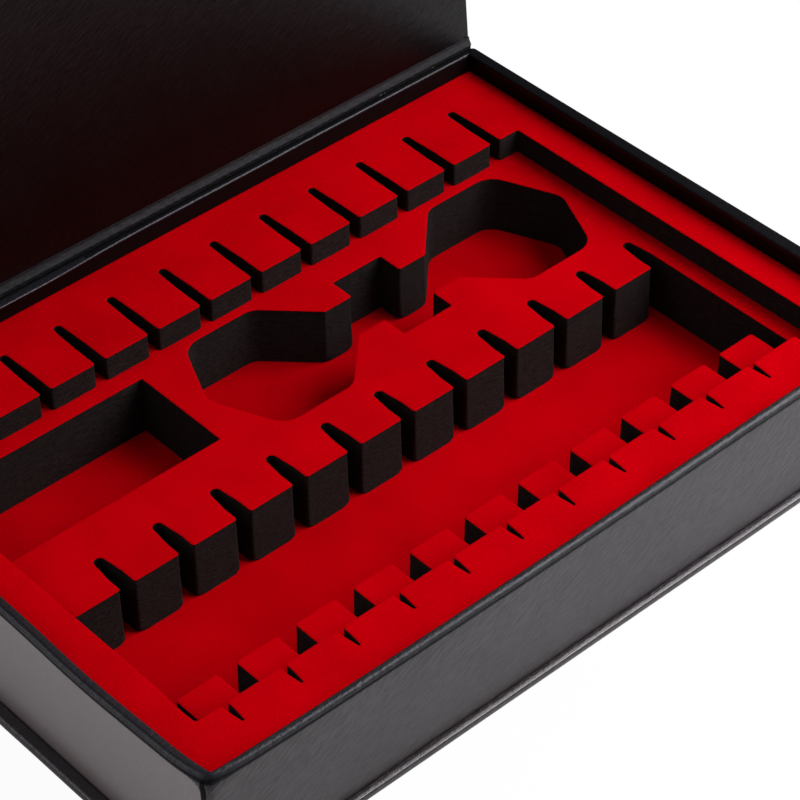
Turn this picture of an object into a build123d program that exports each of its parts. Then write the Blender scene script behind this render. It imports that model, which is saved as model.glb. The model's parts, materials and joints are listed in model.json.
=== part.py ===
from build123d import *
import math
import os

# Book-style dart case, in millimetres. The origin is the centre of the underside,
# +X runs along the long side, +Y to the hinge at the back and +Z up. The lid stands open.

# Sheet materials
board = 2.5
leather = 0.3
liner = 0.2
flock = 0.4
backing = 0.65
top_foam_sheet = 8.2
middle_foam_sheet = 19.95

# Top foam: an open frame with a comb along its back and its front, one slot for each dart
dart_count = 12
top_pitch = 20.0
top_frame_left = 14.0
top_frame_right = 11.0
front_frame = 21.3
back_frame = 34.5
top_slot_width = 4.0
top_slot_straight = 9.5
top_slot_depth = 21.9
top_slot_tip = 1.55
front_slot_width = 2.1
front_slot_straight = 3.0
front_slot_depth = 8.1
front_slot_tip = 0.5
front_slot_shift = -0.65

# Middle foam: a well for the barrels with a comb on either side, a parts compartment
# and a recess for flights
front_ledge = 16.0
well_depth = 42.5
well_margin_left = 13.5
well_margin_right = 17.3
middle_slot_width = 5.2
middle_slot_straight = 5.4
middle_slot_depth = 14.3
middle_slot_tip = 1.8
well_slot_width = 6.8
well_slot_corner = 1.0
comb_web = 6.7
recess_ledge = 3.3
recess_margin_right = 16.9
compartment_web = 7.8
compartment_depth = 36.7
compartment_ledge = 6.0
lobe_half_width = 23.7
lobe_flat = 26.1
lobe_point = 10.4
lobe_corner = 8.0
neck_half_width = 7.6
neck_reach = 20.5
notch_half_length = 9.9
notch_half_width = 16.5

# Tray and case
rim_above_foam = 6.3
foam_fit = 0.15
tray_corner = 2.3
rim_round = 0.7
turn_in = 15.0
front_lip = 2.0
side_lip = 2.2
tray_off_centre = 1.8
case_corner = 1.5
edge_round = 0.6

# Hinge crease and lid
open_angle = 94.9
hinge_rise = 2.4
hinge_behind = 0.1
lid_clearance = 0.13
lid_edge_gap = 0.25
crease_gap = 0.05
liner_inset = 2.5

# Closing magnets, hidden in the front wall and in the lid
magnet_length = 20.0
magnet_thickness = 1.5
tray_magnet_height = 6.0
lid_magnet_width = 5.0
magnet_spacing = 140.0
magnet_fit = 0.1

# Plan sizes that follow from the cut-outs
top_opening_length = dart_count * top_pitch
recess_width = 2 * lobe_half_width
top_opening_depth = front_ledge + well_depth + middle_slot_depth + comb_web + recess_width + recess_ledge
inner_length = top_frame_left + top_opening_length + top_frame_right
inner_depth = front_frame + top_opening_depth + back_frame
wall = board + 2 * leather
outer_length = inner_length + 2 * wall
outer_depth = inner_depth + 2 * wall
spine_stack = board + leather
case_length = outer_length + 2 * side_lip
case_depth = front_lip + outer_depth + spine_stack

# Places in the case's own frame
tray_x = tray_off_centre
tray_y = (front_lip - spine_stack) / 2
spine_front = tray_y + outer_depth / 2
spine_back = case_depth / 2

# Heights, from the underside up
base_top = leather + board + leather
tray_board_bottom = base_top + leather
tray_board_top = tray_board_bottom + board
floor_flock_bottom = tray_board_top + backing
floor_top = floor_flock_bottom + flock
middle_flock_bottom = floor_top + middle_foam_sheet
middle_top = middle_flock_bottom + flock
top_flock_bottom = middle_top + top_foam_sheet
top_top = top_flock_bottom + flock
rim_top = top_top + rim_above_foam
wall_board_top = rim_top - leather

# Lid: its own axes are +X, the way from the hinge to its free edge, and the way its inside faces
lean_back = math.radians(open_angle - 90)
lid_along = Vector(0, math.sin(lean_back), math.cos(lean_back))
lid_inward = Vector(0, -math.cos(lean_back), math.sin(lean_back))
hinge_line = Vector(0, spine_back + hinge_behind, rim_top + hinge_rise)
lid_reach = hinge_line.Y + case_depth / 2
lid_face = hinge_rise - lid_clearance
lid_turn_face = lid_face - liner
lid_board_face = lid_turn_face - leather
lid_board_back = lid_board_face - board
lid_back = lid_board_back - leather


def tray_level(height):
    """The plane at a height, centred on the tray."""
    return Plane(origin=(tray_x, tray_y, height))


def lid_level(inward):
    """The plane in the lid that lies this far inward of the hinge line, with +Y away from the hinge."""
    return Plane(origin=hinge_line + lid_inward * inward, x_dir=(1, 0, 0), z_dir=lid_inward)


def lid_section(along, inward):
    """A point of the lid's cross-section, as (Y, Z) in the case's frame."""
    point = hinge_line + lid_along * along + lid_inward * inward
    return (point.Y, point.Z)


def comb_slot(width, straight, depth, tip):
    """A slot with its mouth centred on the origin, running along +Y to a round tip."""
    with BuildSketch() as slot:
        with Locations((0, straight / 2)):
            Rectangle(width, straight)
        with Locations((0, depth - tip)):
            Circle(tip)
        make_hull()
    return slot.sketch


def finish(piece, name):
    """Label a piece and write it out."""
    piece.label = name
    export_step(piece, f"parts/{name}.step")


os.makedirs("parts", exist_ok=True)

# Base board and its leatherette, which is turned in over the front and the two sides
base_board_length = case_length - 2 * leather
base_board_depth = spine_front + case_depth / 2 - leather
base_board_y = spine_front - base_board_depth / 2

with BuildPart() as base_board:
    with BuildSketch(Plane.XY.offset(leather)):
        with Locations((0, base_board_y)):
            Rectangle(base_board_length, base_board_depth)
    extrude(amount=board)
    fillet(base_board.edges().filter_by(Axis.Z).group_by(Axis.Y)[0], case_corner - leather)
finish(base_board.part, "base_board")

with BuildPart() as cover_base:
    with BuildSketch(Plane.XY):
        Rectangle(case_length, case_depth)
    extrude(amount=leather)
    with BuildSketch(Plane.XY.offset(leather)):
        with Locations((0, base_board_y - leather / 2)):
            Rectangle(case_length, base_board_depth + leather)
    extrude(amount=base_top - leather)
    fillet(cover_base.edges().filter_by(Axis.Z).group_by(Axis.Y)[0], case_corner)
    fillet(cover_base.faces().sort_by(Axis.Z)[-1].edges().sort_by(Axis.Y)[:-1], edge_round)
    fillet(cover_base.faces().sort_by(Axis.Z)[0].edges().group_by(Axis.Y)[0], leather / 2)
    add(base_board.part, mode=Mode.SUBTRACT)
    with BuildSketch(Plane.XY.offset(leather + board)):
        with Locations((0, base_board_y + turn_in / 2)):
            Rectangle(case_length - 2 * turn_in, base_board_depth - turn_in)
    extrude(amount=leather, mode=Mode.SUBTRACT)
finish(cover_base.part, "cover_base_panel")

# Spine board behind the tray and its leatherette, which goes round both ends
with BuildPart() as spine_board:
    with BuildSketch(Plane.XY.offset(leather)):
        with Locations((0, spine_front + board / 2)):
            Rectangle(base_board_length, board)
    extrude(amount=wall_board_top - leather)
finish(spine_board.part, "spine_board")

with BuildPart() as cover_spine:
    with BuildSketch(Plane.XY.offset(leather)):
        with Locations((0, spine_front + spine_stack / 2)):
            Rectangle(case_length, spine_stack)
    extrude(amount=wall_board_top - leather)
    fillet(cover_spine.edges().filter_by(Axis.Z).group_by(Axis.Y)[-1], edge_round)
    add(spine_board.part, mode=Mode.SUBTRACT)
finish(cover_spine.part, "cover_spine_panel")

# The crease: outer leatherette from the spine to the lid, and the lining inside it
crease_end = lid_edge_gap - crease_gap
spine_skin = spine_back - leather

with BuildPart() as cover_hinge:
    with BuildSketch(Plane.YZ.offset(-case_length / 2)):
        with BuildLine():
            Polyline(
                (spine_skin, wall_board_top),
                (spine_back, wall_board_top),
                lid_section(crease_end, lid_back),
                lid_section(crease_end, lid_board_back),
                close=True,
            )
        make_face()
    extrude(amount=case_length)
finish(cover_hinge.part, "cover_hinge_panel")

with BuildPart() as hinge_lining:
    with BuildSketch(Plane.YZ.offset(-base_board_length / 2)):
        with BuildLine():
            Polyline(
                (spine_front, wall_board_top),
                (spine_skin, wall_board_top),
                lid_section(crease_end, lid_board_back),
                lid_section(crease_end, lid_board_back + leather),
                (spine_skin - leather, rim_top),
                (spine_front, rim_top),
                close=True,
            )
        make_face()
    extrude(amount=base_board_length)
finish(hinge_lining.part, "hinge_lining")

# Tray boards: the space that they fill together, then each board cut from it
board_space_length = outer_length - 2 * leather
board_space_depth = outer_depth - 2 * leather
wall_board_height = wall_board_top - tray_board_top

with BuildPart() as wall_space:
    with BuildSketch(tray_level(tray_board_top)):
        RectangleRounded(board_space_length, board_space_depth, tray_corner - leather)
        Rectangle(inner_length + 2 * leather, inner_depth + 2 * leather, mode=Mode.SUBTRACT)
    extrude(amount=wall_board_height)

with BuildPart() as tray_bottom_board:
    with BuildSketch(tray_level(tray_board_bottom)):
        RectangleRounded(board_space_length, board_space_depth, tray_corner - leather)
    extrude(amount=board)
finish(tray_bottom_board.part, "tray_bottom_board")

long_wall_y = (board_space_depth - board) / 2
short_wall_x = (board_space_length - board) / 2
magnet_places = [tray_x - magnet_spacing / 2, tray_x + magnet_spacing / 2]
tray_magnet_bottom = wall_board_top - tray_magnet_height

with BuildPart() as tray_front_board:
    add(wall_space.part)
    with BuildSketch(tray_level(tray_board_top)):
        with Locations((0, -long_wall_y)):
            Rectangle(board_space_length, board)
    extrude(amount=wall_board_height, mode=Mode.INTERSECT)
    with BuildSketch(Plane((0, tray_y - long_wall_y, tray_magnet_bottom - magnet_fit))):
        with Locations(*[(x, 0) for x in magnet_places]):
            Rectangle(magnet_length + 2 * magnet_fit, magnet_thickness + 2 * magnet_fit)
    extrude(amount=tray_magnet_height + magnet_fit, mode=Mode.SUBTRACT)
finish(tray_front_board.part, "tray_front_board")

with BuildPart() as tray_back_board:
    add(wall_space.part)
    with BuildSketch(tray_level(tray_board_top)):
        with Locations((0, long_wall_y)):
            Rectangle(board_space_length, board)
    extrude(amount=wall_board_height, mode=Mode.INTERSECT)
finish(tray_back_board.part, "tray_back_board")

for side, side_name in ((-1, "left"), (1, "right")):
    with BuildPart() as tray_side_board:
        with BuildSketch(tray_level(tray_board_top)):
            with Locations((side * short_wall_x, 0)):
                Rectangle(board, board_space_depth - 2 * board)
        extrude(amount=wall_board_height)
    finish(tray_side_board.part, f"tray_{side_name}_board")

with BuildPart() as tray_magnets:
    with BuildSketch(Plane((0, tray_y - long_wall_y, tray_magnet_bottom))):
        with Locations(*[(x, 0) for x in magnet_places]):
            Rectangle(magnet_length, magnet_thickness)
    extrude(amount=tray_magnet_height)
finish(tray_magnets.part, "tray_magnets")

# Tray wrap: one sheet of leatherette over the outside, the rim and the inside of the walls
with BuildPart() as tray_wrap:
    with BuildSketch(tray_level(base_top)):
        RectangleRounded(outer_length, outer_depth, tray_corner)
    extrude(amount=rim_top - base_top)
    with BuildSketch(tray_level(tray_board_top)):
        Rectangle(inner_length, inner_depth)
    extrude(amount=rim_top - tray_board_top, mode=Mode.SUBTRACT)
    fillet(tray_wrap.faces().sort_by(Axis.Z)[-1].edges(), rim_round)
    add(wall_space.part, mode=Mode.SUBTRACT)
    add(tray_bottom_board.part, mode=Mode.SUBTRACT)
    with BuildSketch(tray_level(base_top)):
        Rectangle(outer_length - 2 * turn_in, outer_depth - 2 * turn_in)
    extrude(amount=leather, mode=Mode.SUBTRACT)
finish(tray_wrap.part, "tray_wrap")

# Foam insert: the plan of each layer, drawn about the tray's centre
insert_length = inner_length - 2 * foam_fit
insert_depth = inner_depth - 2 * foam_fit
top_opening_x = (top_frame_left - top_frame_right) / 2
top_opening_front = front_frame - inner_depth / 2
top_opening_back = top_opening_front + top_opening_depth
top_slot_xs = [top_opening_x + (k - (dart_count - 1) / 2) * top_pitch for k in range(dart_count)]
front_slot_xs = [x + front_slot_shift for x in top_slot_xs]

well_left = well_margin_left - inner_length / 2
well_right = inner_length / 2 - well_margin_right
well_front = top_opening_front + front_ledge
well_back = well_front + well_depth
middle_pitch = (well_right - well_left - middle_slot_width) / (dart_count - 1)
middle_slot_xs = [well_left + middle_slot_width / 2 + k * middle_pitch for k in range(dart_count)]
well_slot_depth = front_ledge + front_slot_depth

lobe_start = neck_reach + lobe_half_width - neck_half_width
lobe_shoulder = lobe_start + lobe_flat
recess_half_length = lobe_shoulder + lobe_point
recess_x = inner_length / 2 - recess_margin_right - recess_half_length
recess_y = well_back + middle_slot_depth + comb_web + lobe_half_width
compartment_right = recess_x - recess_half_length - compartment_web
compartment_length = compartment_right - well_left
compartment_back = top_opening_back - compartment_ledge

with BuildSketch() as floor_plan:
    Rectangle(insert_length, insert_depth)

with BuildSketch() as top_plan:
    Rectangle(insert_length, insert_depth)
    with Locations((top_opening_x, (top_opening_front + top_opening_back) / 2)):
        Rectangle(top_opening_length, top_opening_depth, mode=Mode.SUBTRACT)
    with Locations(*[(x, top_opening_back) for x in top_slot_xs]):
        add(comb_slot(top_slot_width, top_slot_straight, top_slot_depth, top_slot_tip), mode=Mode.SUBTRACT)
    with Locations(*[Location((x, top_opening_front, 0), (0, 0, 180)) for x in front_slot_xs]):
        add(
            comb_slot(front_slot_width, front_slot_straight, front_slot_depth, front_slot_tip),
            mode=Mode.SUBTRACT,
        )

# Flight recess: one quarter of it, mirrored both ways, with a finger notch across its neck
with BuildSketch() as flight_recess:
    with BuildLine():
        Polyline(
            (0, 0),
            (0, neck_half_width),
            (neck_reach, neck_half_width),
            (lobe_start, lobe_half_width),
            (lobe_shoulder, lobe_half_width),
            (recess_half_length, 0),
            close=True,
        )
    make_face()
    shoulder = flight_recess.vertices().group_by(Axis.Y)[-1].sort_by(Axis.X)[-1]
    fillet(shoulder, lobe_corner)
    mirror(about=Plane.YZ)
    mirror(about=Plane.XZ)
    Rectangle(2 * notch_half_length, 2 * notch_half_width)

# Slots in front of the well, square where they run into it and flush with its ends
with BuildSketch() as well_slots:
    with Locations(*[(x, well_front - well_slot_depth / 2) for x in middle_slot_xs]):
        RectangleRounded(well_slot_width, well_slot_depth, well_slot_corner)
    with Locations(*[(x, well_front - well_slot_depth / 4) for x in middle_slot_xs]):
        Rectangle(well_slot_width, well_slot_depth / 2)
    with Locations(((well_left + well_right) / 2, well_front)):
        Rectangle(well_right - well_left, 2 * (well_slot_depth + well_depth), mode=Mode.INTERSECT)

with BuildSketch() as middle_plan:
    Rectangle(insert_length, insert_depth)
    with Locations(((well_left + well_right) / 2, (well_front + well_back) / 2)):
        Rectangle(well_right - well_left, well_depth, mode=Mode.SUBTRACT)
    with Locations(*[(x, well_back) for x in middle_slot_xs]):
        add(
            comb_slot(middle_slot_width, middle_slot_straight, middle_slot_depth, middle_slot_tip),
            mode=Mode.SUBTRACT,
        )
    add(well_slots.sketch, mode=Mode.SUBTRACT)
    with Locations(((well_left + compartment_right) / 2, compartment_back - compartment_depth / 2)):
        Rectangle(compartment_length, compartment_depth, mode=Mode.SUBTRACT)
    with Locations((recess_x, recess_y)):
        add(flight_recess.sketch, mode=Mode.SUBTRACT)

# Foam insert: each sheet of it, from the floor up
insert_sheets = [
    ("floor_backing", floor_plan, tray_board_top, backing),
    ("floor_flock", floor_plan, floor_flock_bottom, flock),
    ("middle_foam", middle_plan, floor_top, middle_foam_sheet),
    ("middle_flock", middle_plan, middle_flock_bottom, flock),
    ("top_foam", top_plan, middle_top, top_foam_sheet),
    ("top_flock", top_plan, top_flock_bottom, flock),
]
for sheet_name, plan, bottom, thickness in insert_sheets:
    with BuildPart() as insert_sheet:
        with BuildSketch(tray_level(bottom)):
            add(plan.sketch)
        extrude(amount=thickness)
    finish(insert_sheet.part, sheet_name)

# Lid board, with pockets for its magnets over those of the tray
lid_length = lid_reach - lid_edge_gap
lid_middle = (lid_reach + lid_edge_gap) / 2
lid_board_length = lid_length - 2 * leather
lid_magnet_along = hinge_line.Y - (tray_y - long_wall_y)

with BuildPart() as lid_board:
    with BuildSketch(lid_level(lid_board_back)):
        with Locations((0, lid_middle)):
            Rectangle(base_board_length, lid_board_length)
    extrude(amount=board)
    lid_corners = lid_board.edges().filter_by(lambda edge: abs(edge.length - board) < leather / 2)
    fillet(lid_corners.sort_by(Axis.Z)[-2:], case_corner - leather)
    with BuildSketch(lid_level(lid_board_face - magnet_thickness - magnet_fit)):
        with Locations(*[(x, lid_magnet_along) for x in magnet_places]):
            Rectangle(magnet_length + 2 * magnet_fit, lid_magnet_width + 2 * magnet_fit)
    extrude(amount=magnet_thickness + magnet_fit, mode=Mode.SUBTRACT)
finish(lid_board.part, "lid_board")

with BuildPart() as lid_magnets:
    with BuildSketch(lid_level(lid_board_face - magnet_thickness)):
        with Locations(*[(x, lid_magnet_along) for x in magnet_places]):
            Rectangle(magnet_length, lid_magnet_width)
    extrude(amount=magnet_thickness)
finish(lid_magnets.part, "lid_magnets")

# Lid leatherette, turned in over all its edges, and the liner inside
lid_shell = board + 2 * leather

with BuildPart() as cover_lid:
    with BuildSketch(lid_level(lid_back)):
        with Locations((0, lid_middle)):
            Rectangle(case_length, lid_length)
    extrude(amount=lid_shell)
    shell_corners = cover_lid.edges().filter_by(lambda edge: abs(edge.length - lid_shell) < leather / 2)
    fillet(shell_corners.sort_by(Axis.Z)[-2:], case_corner)
    shell_sides = cover_lid.faces().filter_by(lambda face: abs(abs(face.normal_at().dot(lid_inward)) - 1) < 1e-6)
    fillet(shell_sides.edges().sort_by(Axis.Z)[2:], edge_round)
    with BuildSketch(lid_level(lid_board_back)):
        with Locations((0, lid_middle)):
            Rectangle(base_board_length, lid_board_length)
    extrude(amount=board, mode=Mode.SUBTRACT)
    with BuildSketch(lid_level(lid_board_face)):
        with Locations((0, lid_middle)):
            Rectangle(case_length - 2 * turn_in, lid_length - 2 * turn_in)
    extrude(amount=leather, mode=Mode.SUBTRACT)
finish(cover_lid.part, "cover_lid_panel")

liner_length = lid_length - liner_inset

with BuildPart() as lid_liner:
    with BuildSketch(lid_level(lid_turn_face)):
        with Locations((0, lid_edge_gap + liner_length / 2)):
            Rectangle(case_length - 2 * liner_inset, liner_length)
    extrude(amount=liner)
finish(lid_liner.part, "lid_liner")
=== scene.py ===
import json
import math

import bmesh
import bpy
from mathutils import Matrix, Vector, noise


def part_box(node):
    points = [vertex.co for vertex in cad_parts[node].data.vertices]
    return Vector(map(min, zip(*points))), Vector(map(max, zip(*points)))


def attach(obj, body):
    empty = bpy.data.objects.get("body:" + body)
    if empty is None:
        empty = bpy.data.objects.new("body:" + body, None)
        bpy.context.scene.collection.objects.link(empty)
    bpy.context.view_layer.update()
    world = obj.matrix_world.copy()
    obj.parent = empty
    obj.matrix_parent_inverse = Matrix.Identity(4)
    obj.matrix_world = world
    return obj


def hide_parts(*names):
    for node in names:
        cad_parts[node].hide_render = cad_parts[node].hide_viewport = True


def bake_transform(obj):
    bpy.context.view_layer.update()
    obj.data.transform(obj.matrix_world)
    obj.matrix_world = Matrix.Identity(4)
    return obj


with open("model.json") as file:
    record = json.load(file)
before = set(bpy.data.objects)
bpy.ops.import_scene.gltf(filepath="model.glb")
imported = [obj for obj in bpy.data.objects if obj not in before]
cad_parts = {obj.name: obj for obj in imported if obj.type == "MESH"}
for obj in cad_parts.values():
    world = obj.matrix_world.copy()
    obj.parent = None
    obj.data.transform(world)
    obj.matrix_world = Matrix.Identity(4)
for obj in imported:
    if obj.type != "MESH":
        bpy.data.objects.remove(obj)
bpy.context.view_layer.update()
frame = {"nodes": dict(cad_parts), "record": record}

# Sizes below are in millimetres, and MM turns them into the scene's metres
MM = 0.001


def box_mm(node):
    """A CAD node's lowest and highest corners, in millimetres."""
    return [Vector(corner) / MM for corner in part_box(node)]


def ease(value, start, end):
    """0 before start, 1 after end and a smooth step between them."""
    t = min(max((value - start) / (end - start), 0), 1)
    return t * t * (3 - 2 * t)


def grain(x, y, z, size):
    """Smooth noise between about -1 and 1, with bumps of the given size."""
    return noise.noise(Vector((x, y, z)) / size)


def near(distance, reach):
    """1 at a distance of 0, fading to nothing over a few times the reach."""
    return math.exp(-distance / reach)


# The tray: its outside, and the inside of its walls
FOAM_FIT = 0.15
SKIN = 0.3
tray_low, tray_high = box_mm("tray_wrap")
insert_low, insert_high = box_mm("top_foam")
inner_low = insert_low - Vector((FOAM_FIT, FOAM_FIT, 0))
inner_high = insert_high + Vector((FOAM_FIT, FOAM_FIT, 0))
wall = inner_low.x - tray_low.x
foot, rim = tray_low.z, tray_high.z

# How far the rim moves in: the left wall, except near one place where it stands upright, and the front wall
LEFT_LEAN = 0.8
UPRIGHT_PLACE, UPRIGHT_REACH = 47, 22
LEFT_LEAN_END = (100, 165)
FRONT_LEAN = 0.85
FRONT_LEAN_START = (102, 218)

# How far the front corners are drawn in at the rim, and how far that reaches along the walls
CORNER_IN, CORNER_IN_REACH = 1.2, 7
FRONT_PULL_LEFT, FRONT_PULL_RIGHT, FRONT_PULL_REACH = 1.3, 0.5, 22
CRUSH_ALONG, CRUSH_ALONG_REACH = 0.5, 2.5
CRUSH_IN, CRUSH_IN_REACH = 1.5, 3
WALL_FADE = (4, 13)


def lean(x, y, z):
    """How far a point of the tray moves because its walls bow and its front corners are drawn in."""
    rise = min(max((z - foot) / (rim - foot), 0), 1.05)
    crush = rise**4
    from_front = y - inner_low.y
    near_front = 1 - ease(from_front, *WALL_FADE)
    left_lean = LEFT_LEAN * (1 - math.exp(-(((from_front - UPRIGHT_PLACE) / UPRIGHT_REACH) ** 2)))
    left_lean *= 1 - ease(from_front, *LEFT_LEAN_END)
    shift = Vector((0, 0, 0))
    for side, from_side, side_lean, front_pull in (
        (1, x - inner_low.x, left_lean, FRONT_PULL_LEFT), (-1, inner_high.x - x, 0, FRONT_PULL_RIGHT),
    ):
        near_side = 1 - ease(from_side, *WALL_FADE)
        inward = (side_lean + CORNER_IN * near(from_front, CORNER_IN_REACH)) * rise
        inward += CRUSH_ALONG * near(from_front + wall, CRUSH_ALONG_REACH) * crush
        shift.x += side * near_side * inward
        shift.y += near_front * CRUSH_IN * near(from_side + wall, CRUSH_IN_REACH) * crush
        shift.y += near_front * front_pull * near(from_side, FRONT_PULL_REACH) * rise
    shift.y += near_front * FRONT_LEAN * ease(x - inner_low.x, *FRONT_LEAN_START) * rise
    return shift


# How far the outer sheet stands off: at the rim of the front and the right wall, and at the front left
# corner, where it bellies out and is crushed back in at the rim
FRONT_SWELL = 0.55
RIGHT_SWELL, RIGHT_SWELL_FRONT = 1.5, 0.4
FRONT_BELLY, FRONT_CRUSH, FRONT_REACH = 1.9, 2.2, 6
LEFT_BELLY, LEFT_CRUSH, LEFT_REACH = 0.45, 1.2, 7

# How far the inner sheet moves at the rim: all along the left wall, near the corner, and along the back wall,
# where one stretch bulges and the right end lies back
INNER_LEFT, INNER_LEFT_CORNER, INNER_FRONT_CORNER, INNER_REACH = 0.25, 0.28, 0.75, 7
BACK_BULGE, BACK_HOLLOW = 1.55, 0.38


def skin_shift(x, y, z, inset):
    """How far the wrap stands from its boards, on the outside or the inside of a wall."""
    rise = min(max((z - foot) / (rim - foot), 0), 1)
    crushed = rise**12
    outer = 1 - ease(inset / wall, 0.35, 0.8)
    inner = 1 - outer
    from_left = x - tray_low.x
    from_front = y - tray_low.y
    near_left, near_right, near_front, near_back = (
        1 - ease(distance, wall + 0.5, wall + 7)
        for distance in (from_left, tray_high.x - x, from_front, tray_high.y - y)
    )
    front_corner = near(max(from_left - wall, 0), INNER_REACH)
    left_corner = near(max(from_front - wall, 0), INNER_REACH)
    right_swell = (RIGHT_SWELL + RIGHT_SWELL_FRONT * ease(-y, -60, 50)) * ease(from_front, 5, 45)
    bulge = BACK_BULGE * ease(-x, 3, 46) * (1 - ease(-x, 70, 125)) - BACK_HOLLOW * ease(x, 45, 65)
    shift = Vector((0, 0, 0))
    shift.y += near_front * outer * FRONT_SWELL * rise**2
    front_out = FRONT_BELLY * rise - FRONT_CRUSH * crushed
    left_out = LEFT_BELLY * rise - LEFT_CRUSH * crushed
    shift.y -= near_front * outer * near(from_left, FRONT_REACH) * front_out
    shift.x -= near_left * outer * near(from_front, LEFT_REACH) * left_out
    shift.x += near_right * outer * right_swell * rise**2
    shift.y -= near_front * inner * INNER_FRONT_CORNER * front_corner * rise**4
    shift.x += near_left * inner * (INNER_LEFT + INNER_LEFT_CORNER * left_corner) * rise**4
    shift.y -= near_back * inner * bulge * rise**10
    return shift


# Meshes and pieces
WELD = 0.002


def new_piece(name, points, faces, body, replaced, smooth_angle=40):
    """A mesh object from points in millimetres, riding on a body if one is given."""
    mesh = bpy.data.meshes.new(name)
    mesh.from_pydata([Vector(p) * MM for p in points], [], faces)
    return dress(name, mesh, body, replaced, smooth_angle)


def dress(name, mesh, body, replaced, smooth_angle=40):
    """An object for a mesh, with outward normals, smooth where its faces meet at less than the angle."""
    bm = bmesh.new()
    bm.from_mesh(mesh)
    bmesh.ops.remove_doubles(bm, verts=bm.verts, dist=WELD * MM)
    bmesh.ops.recalc_face_normals(bm, faces=bm.faces)
    bm.to_mesh(mesh)
    bm.free()
    mesh.shade_smooth()
    mesh.set_sharp_from_angle(angle=math.radians(smooth_angle))
    piece = bpy.data.objects.new(name, mesh)
    bpy.context.scene.collection.objects.link(piece)
    if body:
        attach(piece, body)
    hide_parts(*replaced)
    return piece


def cad_mesh(node):
    """A CAD node's mesh to work on, with its points joined."""
    bm = bmesh.new()
    bm.from_mesh(frame["nodes"][node].data)
    bmesh.ops.remove_doubles(bm, verts=bm.verts, dist=1e-6)
    return bm


def mesh_from(bm, name):
    """A named mesh from one that was worked on."""
    mesh = bpy.data.meshes.new(name)
    bm.to_mesh(mesh)
    bm.free()
    return mesh


# Outlines of the cut foam, read from the CAD sheets
def top_outlines(node):
    """The closed outlines of a sheet's top face, the outside first, each with the foam on its left."""
    bm = cad_mesh(node)
    top = max(v.co.z for v in bm.verts) - 1e-5
    top_faces = [f for f in bm.faces if min(v.co.z for v in f.verts) > top]
    at_top = set(top_faces)
    following = {}
    for face in top_faces:
        for loop in face.loops:
            if sum(f in at_top for f in loop.edge.link_faces) == 1:
                following[loop.vert] = loop.link_loop_next.vert
    outlines = []
    while following:
        start = next(iter(following))
        outline, vert = [], start
        while vert in following:
            outline.append(Vector((vert.co.x, vert.co.y)) / MM)
            vert = following.pop(vert)
        outlines.append(outline)
    bm.free()
    return sorted(outlines, key=lambda o: -abs(signed_area(o)))


def signed_area(outline):
    """The area inside an outline, positive where it runs anticlockwise."""
    return sum(a.cross(b) for a, b in zip(outline, outline[1:] + outline[:1])) / 2


# The middle sheet's outlines are, from the largest: its outside, the well with its combs, the recess and
# the compartment. The recess has slight turns, which are rounder than its corners
RECESS_SHEETS = ("middle_foam", "middle_flock")
RECESS_OUTLINE = 2
RECESS_RADIUS = 7
SLIGHT_TURN = 65
STRAIGHT = 22
STEP = 1.2


def corner_cut(outline, i, radius, slight_radius):
    """At a corner: how far its rounding reaches, the turn, and 1 if convex, -1 if not, 0 if straight."""
    before = outline[i - 1] - outline[i]
    after = outline[(i + 1) % len(outline)] - outline[i]
    turn = math.pi - before.angle(after, math.pi)
    if turn < math.radians(STRAIGHT):
        return (0, turn, 0)
    sign = 1 if (-before).cross(after) > 0 else -1
    slight = sign < 0 and turn < math.radians(SLIGHT_TURN)
    wanted = (slight_radius if slight else radius) * math.tan(turn / 2)
    return (min(wanted, 0.45 * before.length, 0.45 * after.length), turn, sign)


def convex_corner(outline, i):
    """A convex corner's place, its two directions and how far they may be rounded."""
    corner = outline[i]
    before = outline[i - 1] - corner
    after = outline[(i + 1) % len(outline)] - corner
    return (corner, before.normalized(), after.normalized(), 0.45 * min(before.length, after.length))


def rounded(outline, radius, slight_radius):
    """An outline with rounded corners and divided runs, as (point, the convex corner that it is near)."""
    count = len(outline)
    cuts = [corner_cut(outline, i, radius, slight_radius) for i in range(count)]
    convex = [convex_corner(outline, i) if cuts[i][2] > 0 else None for i in range(count)]
    result = []
    for i, corner in enumerate(outline):
        ahead = outline[(i + 1) % count]
        cut, turn, _ = cuts[i]
        start = corner + (outline[i - 1] - corner).normalized() * cut
        end = corner + (ahead - corner).normalized() * cut
        if cut:
            pieces = max(5, round(math.degrees(turn) / 15))
            for k in range(pieces + 1):
                t = k / pieces
                result.append((start.lerp(corner, t).lerp(corner.lerp(end, t), t), convex[i]))
        else:
            result.append((corner, None))
        next_cut = cuts[(i + 1) % count][0]
        run = ahead + (corner - ahead).normalized() * next_cut - end
        pieces = max(1, round(run.length / STEP))
        places = [run.length * k / pieces for k in range(1, pieces)]
        if run.length > 4:
            places = sorted(set(places + [0.35, 0.8, run.length - 0.8, run.length - 0.35]))
        for place in places:
            nearest = convex[i] if place < run.length / 2 else convex[(i + 1) % count]
            result.append((end + run * (place / run.length), nearest))
    if (result[0][0] - result[-1][0]).length < 1e-6:
        result.pop()
    return result


def drawn_corner(point, corner, radius):
    """How far a point near a convex corner moves when the corner is rounded to a radius."""
    if corner is None or radius < 0.01:
        return Vector((0, 0))
    place, before, after, limit = corner
    radius = min(radius, limit)
    away = point - place
    turn = before.cross(after)
    along_before = away.cross(after) / turn
    along_after = before.cross(away) / turn
    apart = abs(along_before - along_after)
    if apart >= radius:
        return Vector((0, 0))
    reach = 2 * radius - apart
    depth = (reach - math.sqrt(max(reach**2 - 2 * (radius - apart) ** 2, 0))) / 2
    return (before + after) * max(depth - min(along_before, along_after), 0)


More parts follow.
